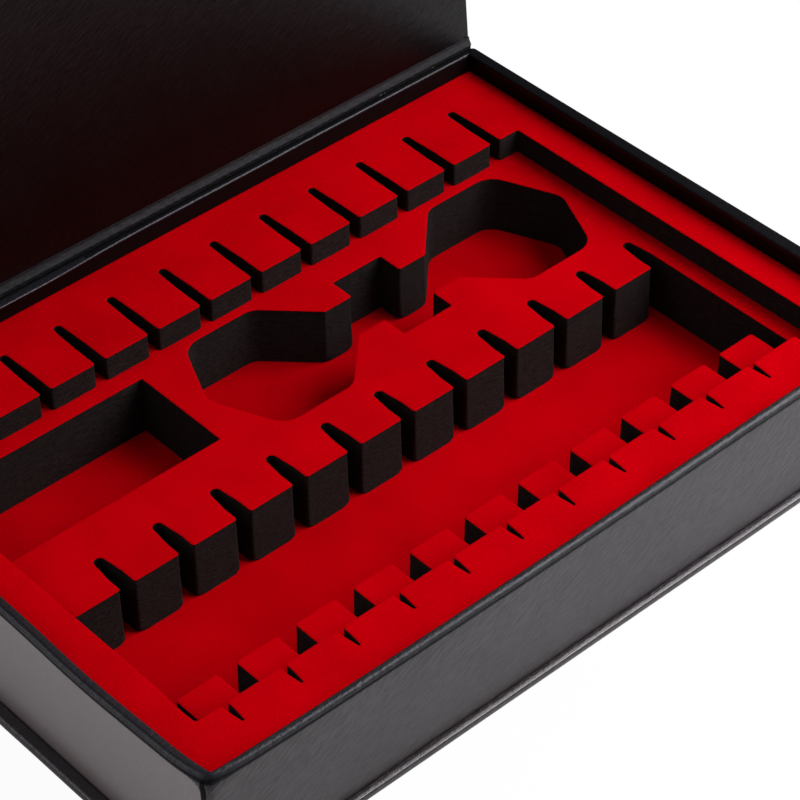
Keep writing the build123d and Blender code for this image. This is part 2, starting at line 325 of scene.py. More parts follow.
def outset_points(ring, amounts):
    """A ring's points moved out of the foam by an amount each."""
    moved = []
    count = len(ring)
    for i, (point, _) in enumerate(ring):
        back = point - ring[i - 1][0]
        ahead = ring[(i + 1) % count][0] - point
        normals = [Vector((d.y, -d.x)).normalized() for d in (back, ahead) if d.length > 1e-6]
        normal = sum(normals, Vector((0, 0))).normalized()
        widen = 1 / max(normal.dot(normals[0]), 0.6)
        moved.append(point + normal * amounts[i] * widen)
    return moved


def cut_sheet(
    name, node, levels, outset, corner_radius, settle=lambda p: p, corner_at=lambda height: 0
):
    """A cut sheet of foam or flock: walls through all the levels, closed at the bottom and the top."""
    points, faces, edge_rings = [], [], []
    for k, outline in enumerate(top_outlines(node)):
        in_recess = node in RECESS_SHEETS and k == RECESS_OUTLINE
        ring = rounded(outline, corner_radius, RECESS_RADIUS if in_recess else corner_radius)
        ring = [(settle(p), corner) for p, corner in ring]
        starts = []
        for height, share in levels:
            amounts = [outset(share, p.x, p.y, height) for p, _ in ring]
            radius = corner_at(height)
            level_ring = [(p + drawn_corner(p, corner, radius), corner) for p, corner in ring]
            starts.append(len(points))
            for p in outset_points(level_ring, amounts):
                points.append(Vector((p.x, p.y, height)) + lean(p.x, p.y, height))
        count = len(ring)
        for low, high in zip(starts, starts[1:]):
            for i in range(count):
                j = (i + 1) % count
                faces.append((low + i, low + j, high + j, high + i))
        edge_rings += [(starts[0], count), (starts[-1], count)]
    mesh = bpy.data.meshes.new(name)
    mesh.from_pydata([p * MM for p in points], [], faces)
    bm = bmesh.new()
    bm.from_mesh(mesh)
    bm.verts.ensure_lookup_table()
    for rings in (edge_rings[::2], edge_rings[1::2]):
        edges = []
        for first, count in rings:
            for i in range(count):
                edges.append(bm.edges.get((bm.verts[first + i], bm.verts[first + (i + 1) % count])))
        bmesh.ops.triangle_fill(bm, edges=edges, use_beauty=True, use_dissolve=False)
    bm.to_mesh(mesh)
    bm.free()
    return dress(name, mesh, "case", (node,))


def foam_outset(flare):
    """How foam stands out at a level: flared towards its bottom, with the streaks of the cut."""
    def outset(share, x, y, height):
        streaks = 0.07 * grain(x, y, height * 2.5, 2.2) + 0.04 * grain(x, y, height * 6, 0.8)
        return flare * (1 - share) ** 1.5 + streaks

    return outset


def foam_corner(node, tall, radius):
    """The radius of a foam's convex corners at a height: they are rounder near its bottom."""
    bottom = box_mm(node)[0].z

    def corner_at(height):
        above = min((height - bottom) / tall, 1)
        return radius * (1 - math.sqrt(max(0, above * (2 - above))))

    return corner_at


BOTTOM_HEIGHTS = [0, 0.06, 0.2, 0.45, 0.8, 1.3]


def foam_levels(node, count):
    """Heights of a foam's rings with their share of the way up, closer together near the bottom."""
    low, high = box_mm(node)
    tall = high.z - low.z
    start = BOTTOM_HEIGHTS[-1]
    heights = BOTTOM_HEIGHTS + [start + (tall - start) * k / count for k in range(1, count + 1)]
    return [(low.z + height, height / tall) for height in heights]


top_opening = top_outlines("top_foam")[1]
opening_left = min(p.x for p in top_opening)
opening_front = min(p.y for p in top_opening)
LOOSE_GAP, LOOSE_PLACE, LOOSE_REACH = 0.5, 14, 8


def loose_edge(point):
    """The top frame's left strip stands away from the opening near its front corner."""
    at_edge = 1 - ease(abs(point.x - opening_left), 0.3, 4)
    along = math.exp(-(((point.y - opening_front - LOOSE_PLACE) / LOOSE_REACH) ** 2))
    return point - Vector((LOOSE_GAP * at_edge * along, 0))


middle_foam = cut_sheet(
    "middle_foam_cut", "middle_foam", foam_levels("middle_foam", 11), foam_outset(0.42), 0.7,
    corner_at=foam_corner("middle_foam", 2.0, 4.5),
)
top_foam = cut_sheet(
    "top_foam_cut", "top_foam", foam_levels("top_foam", 6), foam_outset(0.2), 0.8,
    loose_edge, foam_corner("top_foam", 0.9, 2.2),
)


def flock_levels(node):
    """Heights of a flock's rings and how far each stands out: the upper edge is round."""
    low, high = box_mm(node)
    return [
        (low.z, 0.0),
        (low.z + 0.18, 0.10),
        (high.z - 0.12, 0.06),
        (high.z - 0.05, -0.12),
        (high.z - 0.015, -0.4),
        (high.z, -0.75),
    ]


def flock_outset(share, x, y, height):
    """The flock's rings, with a fuzzy edge."""
    fuzz = 0.05 * grain(x, y, height, 0.7) if share > -0.1 else 0
    return share + fuzz


middle_flock = cut_sheet(
    "middle_flock_cut", "middle_flock", flock_levels("middle_flock"), flock_outset, 0.9
)
top_flock = cut_sheet(
    "top_flock_cut", "top_flock", flock_levels("top_flock"), flock_outset, 1.0, loose_edge
)


# The tray's wrap: one profile swept round the walls
def arc(centre, radius, start, end, count):
    """Points of an arc in the profile's plane, angles in degrees."""
    angles = [math.radians(start + (end - start) * k / count) for k in range(count + 1)]
    return [(centre[0] + radius * math.cos(a), centre[1] + radius * math.sin(a)) for a in angles]


# The crease that is pressed in all round under the rim
RIM_CREASE = 1.85
CREASE_DEPTH, CREASE_WIDTH = 0.6, 0.42
CREASE_TAIL, CREASE_TAIL_REACH = 0.22, 1.9


def rim_crease(down):
    """How deep the wrap is pressed in at a distance under the rim."""
    groove = CREASE_DEPTH * math.exp(-(((down - RIM_CREASE) / CREASE_WIDTH) ** 2))
    return groove + CREASE_TAIL * ease(down, 1.4, 2.2) * near(down - RIM_CREASE, CREASE_TAIL_REACH)


OUTER_ROUND, INNER_ROUND = 1.4, 0.6
TURN_IN = 15
FINE_DEPTH = 7
COARSE_STEPS, FINE_STEPS, INNER_STEPS = 12, 26, 8


def wrap_profile(skin):
    """The wrap's side that lies this deep under its outside, as (inset from the outer face, height)."""
    bottom = box_mm("tray_bottom_board")[1].z
    top_fold = foot + 0.5 + skin
    line = [(TURN_IN, foot + skin), (2, foot + skin), (0.5 + skin, foot + skin), (skin, top_fold)]
    wall_start, fine_start, wall_end = foot + 1.5, rim - FINE_DEPTH, rim - OUTER_ROUND
    heights = [wall_start + (fine_start - wall_start) * k / COARSE_STEPS for k in range(COARSE_STEPS)]
    heights += [fine_start + (wall_end - fine_start) * k / FINE_STEPS for k in range(FINE_STEPS)]
    line += [(skin + rim_crease(rim - height), height) for height in heights]
    line += arc((OUTER_ROUND, rim - OUTER_ROUND), OUTER_ROUND - skin, 180, 90, 9)
    line += arc((wall - INNER_ROUND, rim - INNER_ROUND), INNER_ROUND - skin, 90, 0, 6)
    inner_start = rim - INNER_ROUND - 1
    run = bottom - inner_start
    line += [(wall - skin, inner_start + run * k / INNER_STEPS) for k in range(INNER_STEPS + 1)]
    return line


# The tray's upright corners. Each has a seam, pressed in a little past the corner's start
CORNER_RADIUS = 1.9
CORNER_STEPS = 10
SEAM_PLACE, SEAM_DEPTH, SEAM_WIDTH = 0.1, 0.9, 0.4
FAR_FROM_SEAM = -9


def wrap_stations():
    """Stations round the tray: kind, place, two directions, angle and the way past the corner's start."""
    low, high = tray_low, tray_high
    corners = [
        Vector((low.x, low.y)), Vector((high.x, low.y)), Vector((high.x, high.y)), Vector((low.x, high.y)),
    ]
    stations = []
    for i, corner in enumerate(corners):
        ahead = corners[(i + 1) % 4]
        run = (ahead - corner).length
        along = (ahead - corner).normalized()
        inward = Vector((-along.y, along.x))
        for k in range(CORNER_STEPS + 1):
            angle = math.radians(90) * (k / CORNER_STEPS) ** 1.3
            stations.append(("corner", corner, along, inward, angle, angle * CORNER_RADIUS))
        last = run - CORNER_RADIUS
        distance = CORNER_RADIUS + 0.3
        while distance < last - 1.2:
            stations.append(("wall", corner + along * distance, inward, along, 0, FAR_FROM_SEAM))
            distance += min(max(min(distance, last - distance) * 0.3, 0.7), 4)
        for before in (1.1, 0.8, 0.55, 0.35, 0.15):
            stations.append(("wall", corner + along * (last - before), inward, along, 0, -before))
    return stations


def wrap_point(station, inset, height):
    """A profile point at a station."""
    kind, origin, first, second, angle, past = station
    if kind == "wall":
        point = origin + first * inset
        point.x = min(max(point.x, tray_low.x + inset), tray_high.x - inset)
        point.y = min(max(point.y, tray_low.y + inset), tray_high.y - inset)
        outward = -first
    else:
        radius = max(CORNER_RADIUS - inset, 0.02)
        centre = origin + (first + second) * max(inset, CORNER_RADIUS)
        outward = first * -math.cos(angle) + second * -math.sin(angle)
        point = centre + outward * radius
    if inset < wall / 2:
        below_rim = ease(rim - height, 1.2, 2.2)
        point -= outward * SEAM_DEPTH * math.exp(-(((past - SEAM_PLACE) / SEAM_WIDTH) ** 2)) * below_rim
    moved = Vector((point.x, point.y, height)) + lean(point.x, point.y, height)
    moved += skin_shift(point.x, point.y, height, inset)
    if kind == "wall" and inset <= SKIN:
        swell = 0.06 * grain(point.x, point.y, height, 28) + 0.03 * grain(point.x, point.y, height, 9)
        moved -= Vector((first.x, first.y, 0)) * swell
    return moved


def tray_wrap():
    """The leatherette sheet round the tray: its outside, its inside and its two cut edges."""
    stations = wrap_stations()
    profile = wrap_profile(0) + list(reversed(wrap_profile(SKIN)))
    points = [wrap_point(s, inset, height) for s in stations for inset, height in profile]
    size = len(profile)
    faces = []
    for i in range(len(stations)):
        j = (i + 1) % len(stations)
        for k in range(size):
            m = (k + 1) % size
            faces.append((i * size + k, j * size + k, j * size + m, i * size + m))
    return new_piece("tray_wrap_leatherette", points, faces, "case", ("tray_wrap",), 50)


wrap = tray_wrap()


# How far the boards' faces lie back inside the sheet: everywhere, along the top under the pressed-in crease,
# at the top edges, which are worn, and at the upright corners
BOARD_GAP = 0.12
UNDER_CREASE = 0.7
OUTER_WEAR, OUTER_WEAR_DEPTH = 0.6, 1.4
INNER_WEAR, INNER_WEAR_DEPTH = 0.5, 0.8
CORNER_GAP = 1
CORNER_DROP, CORNER_DROP_DEPTH = 1.6, 3


def worn(inset, other_inset, down):
    """How far a board's point is from where its sharp edge would be, given its distance under the rim."""
    if inset > wall:
        return 0
    if inset > wall / 2:
        return -min(BOARD_GAP + INNER_WEAR * max(1 - down / INNER_WEAR_DEPTH, 0) ** 2, inset - wall / 2)
    amount = BOARD_GAP + UNDER_CREASE * (1 - ease(down, 3, 7))
    amount += OUTER_WEAR * max(1 - down / OUTER_WEAR_DEPTH, 0) ** 2
    if other_inset < wall:
        amount = max(amount, CORNER_GAP)
    return min(amount, wall / 2 - inset)


CUT_EVERY = (8, 8, 6)
TOP_CUTS = (0.25, 0.5, 0.8, 1.2, 1.7, 2.4, 3.5, 4.5)


def bent_copy(node, name, wear):
    """A copy of a hard piece inside the walls that follows their bow. Its edges are worn where wear is 1."""
    bm = cad_mesh(node)
    bmesh.ops.dissolve_limit(bm, angle_limit=0.01, verts=bm.verts, edges=bm.edges)
    low, high = box_mm(node)
    cuts = [
        (axis, low[axis] + k * every)
        for axis, every in enumerate(CUT_EVERY) for k in range(1, int((high[axis] - low[axis]) / every) + 1)
    ]
    cuts += [(axis, where) for axis in (0, 1) for where in (low[axis] + 1, high[axis] - 1)]
    cuts += [(2, high.z - down) for down in TOP_CUTS]
    for axis, where in cuts:
        normal = [0, 0, 0]
        normal[axis] = 1
        place = [0, 0, 0]
        place[axis] = where * MM
        geometry = bm.verts[:] + bm.edges[:] + bm.faces[:]
        bmesh.ops.bisect_plane(bm, geom=geometry, plane_co=place, plane_no=normal)
    for vert in bm.verts:
        place = vert.co / MM
        inset_x = min(place.x - tray_low.x, tray_high.x - place.x)
        inset_y = min(place.y - tray_low.y, tray_high.y - place.y)
        moved = place + lean(*place) + skin_shift(*place, min(inset_x, inset_y))
        down = max(rim - SKIN - place.z, 0)
        moved.x += wear * worn(inset_x, inset_y, down) * (1 if place.x < 0 else -1)
        moved.y += wear * worn(inset_y, inset_x, down) * (1 if place.y < 0 else -1)
        if max(inset_x, inset_y) < wall + 3:
            moved.z -= wear * CORNER_DROP * max(1 - down / CORNER_DROP_DEPTH, 0)
        vert.co = moved * MM
    return dress(name, mesh_from(bm, name), "case", (node,), 30)


wall_boards = [
    bent_copy(f"tray_{side}_board", f"tray_{side}_board_bent", 1)
    for side in ("front", "left", "right", "back")
]
magnets = bent_copy("tray_magnets", "tray_magnets_bent", 0)


def rounded_copy(node, name, body, edge, least):
    """A copy of a hard piece whose edges are rounded if they are longer than the least."""
    bm = cad_mesh(node)
    bmesh.ops.dissolve_limit(bm, angle_limit=0.01, verts=bm.verts, edges=bm.edges)
    sharp = [
        e for e in bm.edges
        if e.calc_length() > least * MM and len(e.link_faces) == 2 and e.calc_face_angle(0) > 1
    ]
    bmesh.ops.bevel(bm, geom=sharp, offset=edge * MM, segments=3, affect="EDGES", profile=0.6)
    return dress(name, mesh_from(bm, name), body, (node,), 30)


# The base cover: a rounded edge swept round the front and the sides, and a flat sheet under the board
base_low, base_high = box_mm("cover_base_panel")
spine_low, spine_high = box_mm("cover_spine_panel")
EDGE_ROUND, BASE_CORNER = 1.3, 1.9
SIDE_STEPS, FRONT_STEPS, TURN_STEPS = 50, 70, 8


def base_profile(skin):
    """The base cover's edge at this depth under its outside, as (inset from the outer edge, height)."""
    line = [(TURN_IN, base_high.z - skin), (4, base_high.z - skin)]
    line += arc((EDGE_ROUND, base_high.z - EDGE_ROUND), EDGE_ROUND - skin, 90, 180, 8)
    line += arc((EDGE_ROUND, base_low.z + EDGE_ROUND), EDGE_ROUND - skin, 180, 270, 8)
    line += [(4, base_low.z + skin), (TURN_IN, base_low.z + skin)]
    return line


def base_stations():
    """Stations from the back of the left side, round the front, to the back of the right side."""
    low = Vector((base_low.x, base_low.y))
    high = Vector((base_high.x, spine_low.y))
    side = high.y - low.y - BASE_CORNER
    front = high.x - low.x - 2 * BASE_CORNER
    stations = []
    for k in range(SIDE_STEPS):
        stations.append((Vector((low.x, high.y - side * k / SIDE_STEPS)), Vector((1, 0))))
    for corner, first, second in (
        (low, Vector((1, 0)), Vector((0, 1))), (Vector((high.x, low.y)), Vector((0, 1)), Vector((-1, 0))),
    ):
        centre = corner + (first + second) * BASE_CORNER
        for k in range(TURN_STEPS + 1):
            angle = math.radians(90 * k / TURN_STEPS)
            inward = first * math.cos(angle) + second * math.sin(angle)
            stations.append((centre - inward * BASE_CORNER, inward))
        if corner is low:
            for k in range(1, FRONT_STEPS):
                x = low.x + BASE_CORNER + front * k / FRONT_STEPS
                stations.append((Vector((x, low.y)), Vector((0, 1))))
    for k in range(1, SIDE_STEPS + 1):
        stations.append((Vector((high.x, low.y + BASE_CORNER + side * k / SIDE_STEPS)), Vector((-1, 0))))
    return stations


def base_point(station, inset, height):
    """A point of the base cover, with slight unevenness along its edge."""
    place, inward = station
    if inward.x and inward.y and inset > BASE_CORNER:
        diagonal = max(abs(inward.x), abs(inward.y))
        inset = BASE_CORNER + (inset - BASE_CORNER) / diagonal
    point = place + inward * inset
    uneven = 0.07 * grain(place.x, place.y, height, 22) * (1 - ease(inset, 1, 4))
    return Vector((point.x + inward.x * uneven, point.y + inward.y * uneven, height))


def flat_sheet(low, high, columns, rows, first):
    """A flat sheet divided into a grid, as its points and its faces, with the points counted from first."""
    points, faces = [], []
    for height in (low.z, high.z):
        for r in range(rows + 1):
            y = low.y + (high.y - low.y) * r / rows
            points += [(low.x + (high.x - low.x) * c / columns, y, height) for c in range(columns + 1)]
    width = columns + 1
    layer = width * (rows + 1)
    for r in range(rows):
        for c in range(columns):
            i = first + r * width + c
            quad = (i, i + 1, i + width + 1, i + width)
            faces += [quad, tuple(v + layer for v in reversed(quad))]
    edge = [first + c for c in range(width)]
    edge += [first + r * width + columns for r in range(1, rows + 1)]
    edge += [first + rows * width + c for c in range(columns - 1, -1, -1)]
    edge += [first + r * width for r in range(rows - 1, 0, -1)]
    faces += [(a, b, b + layer, a + layer) for a, b in zip(edge, edge[1:] + edge[:1])]
    return points, faces


def base_cover():
    """The leatherette round the base board, with the sheet under it."""
    stations = base_stations()
    profile = base_profile(0) + list(reversed(base_profile(SKIN)))
    points = [base_point(s, inset, height) for s in stations for inset, height in profile]
    size = len(profile)
    faces = []
    for i in range(len(stations) - 1):
        for k in range(size):
            m = (k + 1) % size
            faces.append((i * size + k, (i + 1) * size + k, (i + 1) * size + m, i * size + m))
    faces += [tuple(range(size)), tuple(reversed(range(len(points) - size, len(points))))]
    margin = TURN_IN - 0.2
    low = Vector((base_low.x + margin, base_low.y + margin, base_low.z))
    high = Vector((base_high.x - margin, base_high.y, base_low.z + SKIN))
    sheet_points, sheet_faces = flat_sheet(low, high, 24, 18, len(points))
    return new_piece(
        "base_cover_leatherette", points + sheet_points, faces + sheet_faces, "case",
        ("cover_base_panel",),
    )


base_wrap = base_cover()
base_board = rounded_copy("base_board", "base_board_rounded", "case", 0.8, 50)

# The crease: the lining strip that shows inside, and the leatherette fold behind it
joint = frame["record"]["behaviour"]["joints"][0]
hinge = Vector(joint["pos_m"]) / MM
liner_faces = frame["nodes"]["lid_liner"].data.polygons
inward = max(liner_faces, key=lambda f: f.area * (-f.normal.y > 0.9)).normal.copy()
upward = Vector((0, inward.z, -inward.y))


def lid_place(along, depth):
    """A point of the lid's section as (Y, Z): along it from the hinge, and inward of the hinge line."""
    point = hinge + upward * along + inward * depth
    return (point.y, point.z)


def curve_value(p, q, r, s, t):
    """A smooth curve's value at a share t of the way from q to r."""
    square = 2 * p - 5 * q + 4 * r - s
    cube = 3 * q - p - 3 * r + s
    return 0.5 * (2 * q + (r - p) * t + square * t * t + cube * t**3)


def smooth_path(path, count):
    """Points evenly along a smooth curve through the path's points."""
    fine = []
    padded = [path[0]] + list(path) + [path[-1]]
    steps = 12
    for a, b, c, d in zip(padded, padded[1:], padded[2:], padded[3:]):
        for k in range(steps):
            fine.append(tuple(curve_value(*values, k / steps) for values in zip(a, b, c, d)))
    fine.append(tuple(path[-1]))
    lengths = [0]
    for a, b in zip(fine, fine[1:]):
        lengths.append(lengths[-1] + math.dist(a, b))
    result = []
    for k in range(count + 1):
        wanted = lengths[-1] * k / count
        i = max(j for j, length in enumerate(lengths[:-1]) if length <= wanted + 1e-9)
        t = (wanted - lengths[i]) / max(lengths[i + 1] - lengths[i], 1e-9)
        result.append(tuple(p + (q - p) * t for p, q in zip(fine[i], fine[i + 1])))
    return result


SECTION_STEPS, CREASE_COLUMNS = 26, 420


def crease_sheet(name, node, path, thickness, length, wrinkle):
    """A thin wrinkled sheet along the hinge, swept from a path of (Y, Z) that runs between the case and the
    lid.
    """
    section = smooth_path(path, SECTION_STEPS)
    rows, columns = len(section), CREASE_COLUMNS
    points = []
    for side in (0, 1):
        for c in range(columns + 1):
            x = -length / 2 + length * c / columns
            for k, (y, z) in enumerate(section):
                before, after = section[max(k - 1, 0)], section[min(k + 1, rows - 1)]
                along = Vector((after[0] - before[0], after[1] - before[1])).normalized()
                normal = Vector((along.y, -along.x))
                fade = ease(k, 0, 5) * (1 - ease(k, rows - 6, rows - 1))
                depth = wrinkle(x, k / (rows - 1)) * fade - side * thickness
                points.append((x, y - normal.x * depth, z - normal.y * depth))
    layer = (columns + 1) * rows
    faces = []
    for c in range(columns):
        for k in range(rows - 1):
            i = c * rows + k
            quad = (i, i + 1, i + rows + 1, i + rows)
            faces += [quad, tuple(v + layer for v in reversed(quad))]
        for k in (0, rows - 1):
            i = c * rows + k
            faces.append((i, i + rows, i + rows + layer, i + layer))
    for c in (0, columns):
        for k in range(rows - 1):
            i = c * rows + k
            faces.append((i, i + 1, i + 1 + layer, i + layer))
    piece = new_piece(name, points, faces, None, (node,), 50)
    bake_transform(piece)
    return piece


def lining_wrinkle(x, t):
    """The lining's creases: long ones along the hinge and short slanting ones."""
    long = 0.05 * grain(x, t * 9, 3, 3.0) + 0.04 * grain(x * 0.3, t * 14, 7, 1.2)
    slanting = 0.14 * grain(x + t * 4.5, t * 4, 11, 1.6) + 0.07 * grain(x * 1.6 - t * 3, t * 7, 17, 0.8)
    return long + slanting


def fold_wrinkle(x, t):
    """The outer fold's creases."""
    return 0.05 * grain(x * 0.5, t * 8, 23, 2.5) + 0.04 * grain(x, t * 5, 29, 1.2)


def depths(node):
    """How far inward of the hinge line a node's points are."""
    return [(Vector(v.co) / MM - hinge).dot(inward) for v in frame["nodes"][node].data.vertices]


face_depth = max(depths("lid_liner"))
lining_path = [
    (spine_low.y - 0.1, rim - 1.2), (spine_low.y - 0.12, rim - 0.5), (spine_low.y - 0.04, rim + 0.3),
    (spine_low.y - 0.28, rim + 0.7), (spine_low.y - 0.42, rim + 1.05), (spine_low.y - 0.12, rim + 1.6),
    lid_place(0.2, face_depth + 0.1), lid_place(0.7, face_depth + 0.12), lid_place(1.15, face_depth + 0.02),
]
crease_length = base_high.x - base_low.x
crease_lining = crease_sheet(
    "crease_lining", "hinge_lining", lining_path, 0.12, crease_length - 0.2, lining_wrinkle
)
back_depth = min(depths("cover_lid_panel"))
fold_path = [
    lid_place(1.2, back_depth - 0.02), lid_place(0.5, back_depth - 0.06), lid_place(-0.2, back_depth + 0.1),
    (spine_high.y + 0.42, rim + 1.1), (spine_high.y + 0.2, rim + 0.3), (spine_high.y + 0.06, rim - 0.6),
    (spine_high.y + 0.02, rim - 1.3),
]
crease_fold = crease_sheet(
    "crease_fold", "cover_hinge_panel", fold_path, 0.25, crease_length, fold_wrinkle
)


# Materials
def material(name, color, rough, **sockets):
    """A material with its shader's own values set."""
    m = bpy.data.materials.new(name)
    m.use_nodes = True
    shader = m.node_tree.nodes["Principled BSDF"]
    shader.inputs["Base Color"].default_value = (*color, 1)
    shader.inputs["Roughness"].default_value = rough
    for socket, value in sockets.items():
        shader.inputs[socket.replace("_", " ")].default_value = value
    return m


def add_node(m, kind, **values):
    """A node with input values."""
    node = m.node_tree.nodes.new(kind)
    for socket, value in values.items():
        node.inputs[socket.replace("_", " ")].default_value = value
    return node


def object_coordinates(m, stretch=(1, 1, 1), rotation=(0, 0, 0)):
    """Object coordinates in millimetres, turned and then stretched."""
    vector = m.node_tree.nodes.new("ShaderNodeTexCoord").outputs["Object"]
    for scale, turn in (((1 / MM,) * 3, rotation), (stretch, (0, 0, 0))):
        mapping = m.node_tree.nodes.new("ShaderNodeMapping")
        mapping.inputs["Scale"].default_value = scale
        mapping.inputs["Rotation"].default_value = [math.radians(r) for r in turn]
        m.node_tree.links.new(vector, mapping.inputs["Vector"])
        vector = mapping.outputs["Vector"]
    return vector


def noise_value(m, vector, scale, detail=3, rough=0.5, distortion=0):
    """A noise texture's value."""
    values = {"Scale": scale, "Detail": detail, "Roughness": rough, "Distortion": distortion}
    node = add_node(m, "ShaderNodeTexNoise", **values)
    m.node_tree.links.new(vector, node.inputs["Vector"])
    return node.outputs["Fac"]


def ramp(m, value, low, high, low_at=0.3, high_at=0.7):
    """A value spread between two colours."""
    node = m.node_tree.nodes.new("ShaderNodeValToRGB")
    node.color_ramp.elements[0].position = low_at
    node.color_ramp.elements[0].color = (*low, 1)
    node.color_ramp.elements[1].position = high_at
    node.color_ramp.elements[1].color = (*high, 1)
    m.node_tree.links.new(value, node.inputs["Fac"])
    return node.outputs["Color"]


def link(m, output, socket):
    """Link an output to one of the shader's inputs."""
    m.node_tree.links.new(output, m.node_tree.nodes["Principled BSDF"].inputs[socket])


def bump(m, height, distance, strength, under=None):
    """A bump node, over another one if given. The distance is in millimetres."""
    node = add_node(m, "ShaderNodeBump", Distance=distance * MM, Strength=strength)
    m.node_tree.links.new(height, node.inputs["Height"])
    if under:
        m.node_tree.links.new(under, node.inputs["Normal"])
    return node.outputs["Normal"]


def spread(m, value, low, high):
    """A value between 0 and 1 mapped to a range."""
    node = m.node_tree.nodes.new("ShaderNodeMapRange")
    node.inputs["To Min"].default_value = low
    node.inputs["To Max"].default_value = high
    m.node_tree.links.new(value, node.inputs["Value"])
    return node.outputs["Result"]


def multiplied(m, first, second):
    """Two colours multiplied."""
    mix = m.node_tree.nodes.new("ShaderNodeMix")
    mix.data_type = "RGBA"
    mix.blend_type = "MULTIPLY"
    mix.inputs["Factor"].default_value = 1
    m.node_tree.links.new(first, mix.inputs["A"])
    m.node_tree.links.new(second, mix.inputs["B"])
    return mix.outputs["Result"]


def math_node(tree, operation, *values):
    """The output of a math node over numbers and other nodes' outputs."""
    node = tree.nodes.new("ShaderNodeMath")
    node.operation = operation
    for socket, value in zip(node.inputs, values):
        if isinstance(value, (int, float)):
            socket.default_value = value
        else:
            tree.links.new(value, socket)
    return node.outputs[0]


def flock_material():
    """Short red pile: matt, with fine speckle and soft patches where it is brushed."""
    m = material(
        "red_flock", (0.5, 0, 0.004), 1,
        Sheen_Weight=0.1, Sheen_Roughness=0.6, Sheen_Tint=(1, 0, 0.01, 1), Specular_IOR_Level=0,
    )
    place = object_coordinates(m)
    speckle = noise_value(m, place, 2.6, 3, 0.6)
    patches = noise_value(m, place, 0.05, 3, 0.5)
    fine = ramp(m, speckle, (0.43, 0, 0.002), (0.56, 0, 0.004), 0.3, 0.7)
    brushed = ramp(m, patches, (0.9, 0.9, 0.9), (1.08, 1.08, 1.08), 0.3, 0.7)
    link(m, multiplied(m, fine, brushed), "Base Color")
    link(m, bump(m, speckle, 0.25, 0.5), "Normal")
    return m


def foam_material():
    """Cut closed-cell foam: near black, with open cells and fine streaks along the cut."""
    m = material("black_foam", (0.01, 0.0085, 0.008), 0.9, Specular_IOR_Level=0.16)
    streaks = noise_value(m, object_coordinates(m, (0.35, 0.35, 2.2)), 1.4, 4, 0.65)
    cells = noise_value(m, object_coordinates(m), 2.4, 4, 0.75)
    tone = ramp(m, streaks, (0.002, 0.0012, 0.001), (0.021, 0.0132, 0.0118), 0.3, 0.72)
    specks = ramp(m, cells, (0.55, 0.55, 0.55), (1.6, 1.6, 1.6), 0.32, 0.68)
    link(m, multiplied(m, tone, specks), "Base Color")
    link(m, bump(m, cells, 0.3, 0.9, bump(m, streaks, 0.25, 0.7)), "Normal")
    return m


def leather_material(name, color, rough, grain_strength, specular, coat=0.0):
    """Black leatherette: short slanting lines of grain, pores and a worn satin gloss."""
    gloss = {"Coat_Weight": coat, "Coat_Roughness": 0.3, "Specular_Tint": (1, 0.93, 0.96, 1)}
    m = material(name, color, rough, **gloss)
    lines = noise_value(m, object_coordinates(m, (0.26, 1, 1), (0, 29, 0)), 1.15, 2, 0.5, 0.4)
    pores = noise_value(m, object_coordinates(m), 2.6, 3, 0.6)
    patches = noise_value(m, object_coordinates(m), 0.06, 3, 0.5)
    link(m, spread(m, patches, rough - 0.06, rough + 0.06), "Roughness")
    link(m, spread(m, lines, specular * 0.45, specular * 1.55), "Specular IOR Level")
    link(m, bump(m, pores, 0.12, grain_strength * 0.6, bump(m, lines, 0.25, grain_strength)), "Normal")
    return m


def wear_and_painted_light_material():
    """The lining on the crease: black, and scuffed grey along its fold. The grey also holds painted light and
    shade: it fades into painted shade down in the groove and up towards the lid, and is lighter to the right,
    where the light is stronger.
    """
    m = leather_material("crease_lining", (0.004, 0.003, 0.003), 0.7, 1.0, 0.2)
    split = m.node_tree.nodes.new("ShaderNodeSeparateXYZ")
    m.node_tree.links.new(object_coordinates(m), split.inputs[0])
    scuffs = noise_value(m, object_coordinates(m, (0.6, 1, 1)), 1.1, 4, 0.7)
    share = spread(m, scuffs, 0.1, 1.9)
    # Painted light and shade: dark in the groove at the rim, darker up towards the lid, and lighter to the
    # right
    for output, values in (
        ("Z", (rim, rim + 0.8, 0, 1)), ("Z", (rim + 4.4, rim + 1.2, 0.1, 1)), ("X", (-130, 125, 0.6, 1.6)),
    ):
        place = m.node_tree.nodes.new("ShaderNodeMapRange")
        m.node_tree.links.new(split.outputs[output], place.inputs["Value"])
        for socket, value in zip(("From Min", "From Max", "To Min", "To Max"), values):
            place.inputs[socket].default_value = value
        share = math_node(m.node_tree, "MULTIPLY", share, place.outputs["Result"])
    link(m, ramp(m, share, (0.002, 0.0017, 0.0018), (0.02, 0.019, 0.0205), 0, 1), "Base Color")
    return m


def board_material():
    """Greyboard: recycled paper with fibres and specks."""
    m = material("greyboard", (0.42, 0.4, 0.37), 0.9)
    specks = noise_value(m, object_coordinates(m), 1.5, 5, 0.75)
    link(m, ramp(m, specks, (0.3, 0.28, 0.25), (0.5, 0.48, 0.44), 0.35, 0.65), "Base Color")
    link(m, bump(m, specks, 0.1, 0.4), "Normal")
    return m


def magnet_material():
    """Nickel-plated magnets."""
    m = material("nickel", (0.6, 0.6, 0.62), 0.3, Metallic=1)
    marks = noise_value(m, object_coordinates(m), 2, 3, 0.6)
    link(m, spread(m, marks, 0.2, 0.4), "Roughness")
    return m


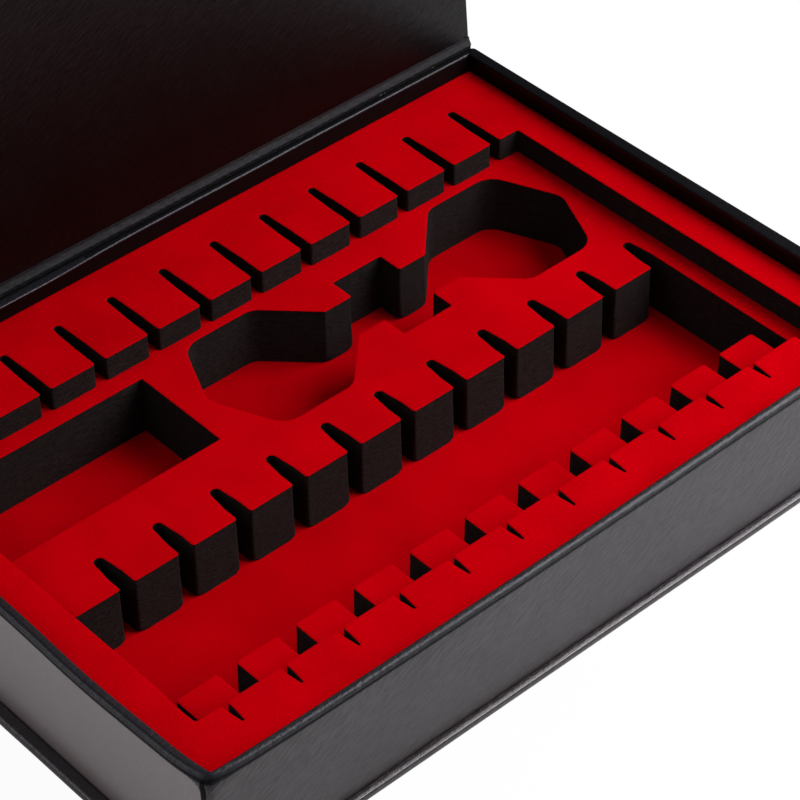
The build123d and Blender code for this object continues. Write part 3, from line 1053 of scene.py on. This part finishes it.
flock_look = flock_material()
foam_look = foam_material()
leather_look = leather_material("black_leatherette", (0.013, 0.0075, 0.0085), 0.42, 0.7, 0.74)
# A dimmer, bluish copy of the leatherette: a painted highlight tone on the rim's outer rounding and the back
# wall's inner edge
rim_highlight_look = leather_material("black_leatherette_rim_painted_highlight", (0.006, 0.006, 0.009), 0.42, 0.7, 0.47)
# A lighter, coated copy of the leatherette: painted light and reflection on the outside of the left wall
left_wall_light_look = leather_material("black_leatherette_painted_left_light", (0.13, 0.097, 0.097), 0.42, 0.4, 0.9, 0.8)
# A dark, less glossy copy of the leatherette: painted shade in the crease under the rim, on the tops of the
# back and right walls and in the front left seam
painted_shade_look = leather_material("black_leatherette_painted_shade", (0.003, 0.0025, 0.003), 0.5, 0.5, 0.17)
lining_look = leather_material("black_lining", (0.002, 0.0009, 0.0008), 0.36, 0.5, 0.19)
# A dark, less glossy copy of the leatherette: painted shade on the inner side of the walls
inner_shade_look = leather_material("black_inner_wall_painted_shade", (0.0035, 0.0013, 0.0012), 0.6, 0.5, 0.07)
crease_look = wear_and_painted_light_material()
board_look = board_material()
magnet_look = magnet_material()
backing_look = leather_material("backing_sheet", (0.05, 0.04, 0.04), 0.8, 0.3, 0.3)


def paint(piece, look):
    """Give a piece one material."""
    piece.data.materials.clear()
    piece.data.materials.append(look)


def paint_part(piece, look, chosen):
    """Give the chosen faces of a piece a material of their own."""
    piece.data.materials.append(look)
    last = len(piece.data.materials) - 1
    for face in piece.data.polygons:
        if chosen(face.center / MM, face.normal):
            face.material_index = last


# Where the wrap's looks change. A face's normal times its distance from the middle, in millimetres, tells
# whether it faces outwards or inwards, and past LEFT_FACING a normal points to the left
tray_middle = (tray_low + tray_high) / 2
INWARDS, OUTWARDS = 40, 10
INNER_EDGE = 0.45
CREASE_HALF = 0.65
BACK_EDGE_WIDTH = 1.8
SHADED_DEPTH = 2
LEFT_FACING = -0.96
SEAM_TOP, SEAM_HALF, SEAM_REACH = 1.2, 0.75, 1.5


def inside_tray(place, normal):
    """Whether a face of the wrap is on the inner side of a wall, where shade is painted."""
    toward = max(normal.x * (tray_middle.x - place.x), normal.y * (tray_middle.y - place.y))
    return toward > INWARDS and place.z < rim - INNER_EDGE


def under_rim(place, normal):
    """Whether a face of the wrap is in the crease under its rim, on the outside, where shade is painted."""
    return abs(rim - place.z - RIM_CREASE) < CREASE_HALF and not inside_tray(place, normal)


def on_rim(place, normal):
    """Whether a face of the wrap is on the rim's outer rounding, or on the back wall's inner edge, where a
    highlight tone is painted.
    """
    back_edge = place.z > rim - INNER_ROUND and 0 < place.y - (tray_high.y - wall - 1) < BACK_EDGE_WIDTH
    outward = max(normal.x * place.x, normal.y * place.y) > OUTWARDS and not inside_tray(place, normal)
    return back_edge or (rim - place.z < OUTER_ROUND and outward)


def shaded_top(place, normal):
    """Whether a face of the wrap is on top of the back or the right wall, and not on its outer rounding,
    where shade is painted.
    """
    on_back = place.y > tray_high.y - wall + 0.7
    on_right = place.x > tray_high.x - wall - 1 and normal.x < 0.45
    return place.z > rim - SHADED_DEPTH and (on_back or on_right)


def outside_left(place, normal):
    """Whether a face of the wrap is on the outside of the left wall, where light is painted."""
    return normal.x < LEFT_FACING and place.x < 0


def front_left_seam(place, normal):
    """Whether a face of the wrap is in the seam at the front left corner, under the rim, where shade is
    painted.
    """
    x, y = tray_low.x, tray_low.y + CORNER_RADIUS
    seam = Vector((x, y, place.z)) + lean(x, y, place.z) + skin_shift(x, y, place.z, 0)
    under_top = place.z < rim - SEAM_TOP
    return under_top and abs(place.y - seam.y) < SEAM_HALF and abs(place.x - seam.x) < SEAM_REACH


def inside_lid(place, normal):
    """Whether a face of the lid's cover faces the case."""
    return normal.dot(inward) > 0.8


looks = {
    "greyboard": board_look, "leatherette": leather_look, "lining": lining_look, "backing": backing_look,
    "foam": foam_look, "flock": flock_look, "magnet": magnet_look,
}
for row in frame["record"]["subparts"]:
    paint(frame["nodes"][row["node"]], looks[row["material_slot"]])
for piece, look in (
    (middle_foam, foam_look), (top_foam, foam_look), (middle_flock, flock_look), (top_flock, flock_look),
    (wrap, leather_look), (magnets, magnet_look), *((board, board_look) for board in wall_boards),
    (base_wrap, leather_look), (base_board, board_look),
    (crease_lining, crease_look), (crease_fold, leather_look),
):
    paint(piece, look)
# Painted shade on the inner side of the walls
paint_part(wrap, inner_shade_look, inside_tray)
# Painted light and reflection on the outside of the left wall
paint_part(wrap, left_wall_light_look, outside_left)
# Painted highlight tone on the rim's outer rounding and the back wall's inner edge
paint_part(wrap, rim_highlight_look, on_rim)
# Painted shade in the crease under the rim, on the tops of the back and right walls and in the front left
# seam
paint_part(wrap, painted_shade_look, under_rim)
paint_part(wrap, painted_shade_look, shaded_top)
paint_part(wrap, painted_shade_look, front_left_seam)
paint_part(frame["nodes"]["cover_lid_panel"], lining_look, inside_lid)

# Camera
camera_data = bpy.data.cameras.new("camera")
camera_data.lens = 135.46
camera_data.sensor_width = 36
camera = bpy.data.objects.new("camera", camera_data)
camera.location = (-0.43036, -0.50222, 0.60904)
camera.rotation_euler = [math.radians(a) for a in (48.8043, 0.3842, -42.1811)]
scene = bpy.context.scene
scene.collection.objects.link(camera)
scene.camera = camera
scene.view_settings.view_transform = "Standard"


# Studio: two softboxes beside the camera, a white table and a plain world
def softbox(name, azimuth, elevation, distance, size, power, color):
    """A square area light that faces the case."""
    data = bpy.data.lights.new(name, "AREA")
    data.shape = "SQUARE"
    data.size = size
    data.energy = power
    data.color = color
    lamp = bpy.data.objects.new(name, data)
    a, e = math.radians(azimuth), math.radians(elevation)
    direction = Vector((math.cos(e) * math.cos(a), math.cos(e) * math.sin(a), math.sin(e)))
    lamp.location = direction * distance
    lamp.rotation_euler = direction.to_track_quat("Z", "Y").to_euler()
    scene.collection.objects.link(lamp)


softbox("softbox_right", -36, 41, 0.75, 0.6, 7.7, (0.93, 0.96, 1))
softbox("softbox_left", 150, 34, 1.6, 1.2, 7, (0.93, 0.96, 1))


def seen_share(tree, camera_share, gloss_share):
    """A share for the camera's and glass's rays, another for rays in gloss, and none for the rest."""
    path = tree.nodes.new("ShaderNodeLightPath").outputs
    clear = math_node(tree, "MAXIMUM", path["Is Camera Ray"], path["Is Transmission Ray"])
    clear_part = math_node(tree, "MULTIPLY", clear, camera_share)
    return math_node(tree, "MULTIPLY_ADD", path["Is Glossy Ray"], gloss_share, clear_part)


def mix_shaders(tree, share, first, second):
    """The output of a mix of two shaders, with the share of the second."""
    mix = tree.nodes.new("ShaderNodeMixShader")
    for socket, output in zip(mix.inputs, (share, first, second)):
        tree.links.new(output, socket)
    return mix.outputs[0]


bpy.ops.mesh.primitive_plane_add(size=6)
table = bpy.context.object
table.name = "table"
table_look = material("white_table", (0.9, 0.9, 0.9), 0.8)
tree = table_look.node_tree
glow = tree.nodes.new("ShaderNodeEmission")
matt = tree.nodes["Principled BSDF"].outputs[0]
table_mix = mix_shaders(tree, seen_share(tree, 0.95, 0.15), matt, glow.outputs[0])
tree.links.new(table_mix, tree.nodes["Material Output"].inputs["Surface"])
paint(table, table_look)

world = bpy.data.worlds.new("world")
scene.world = world
world.use_nodes = True
tree = world.node_tree
ambient = tree.nodes["Background"]
ambient.inputs["Color"].default_value = (1, 1, 1, 1)
ambient.inputs["Strength"].default_value = 0.22
backdrop = tree.nodes.new("ShaderNodeBackground")
backdrop.inputs["Color"].default_value = (1, 1, 1, 1)
dark_room = tree.nodes.new("ShaderNodeBackground")
dark_room.inputs["Color"].default_value = (0.06, 0.068, 0.09, 1)
path = tree.nodes.new("ShaderNodeLightPath").outputs
room = mix_shaders(tree, path["Is Glossy Ray"], ambient.outputs[0], dark_room.outputs[0])
world_mix = mix_shaders(tree, path["Is Camera Ray"], room, backdrop.outputs[0])
tree.links.new(world_mix, tree.nodes["World Output"].inputs["Surface"])
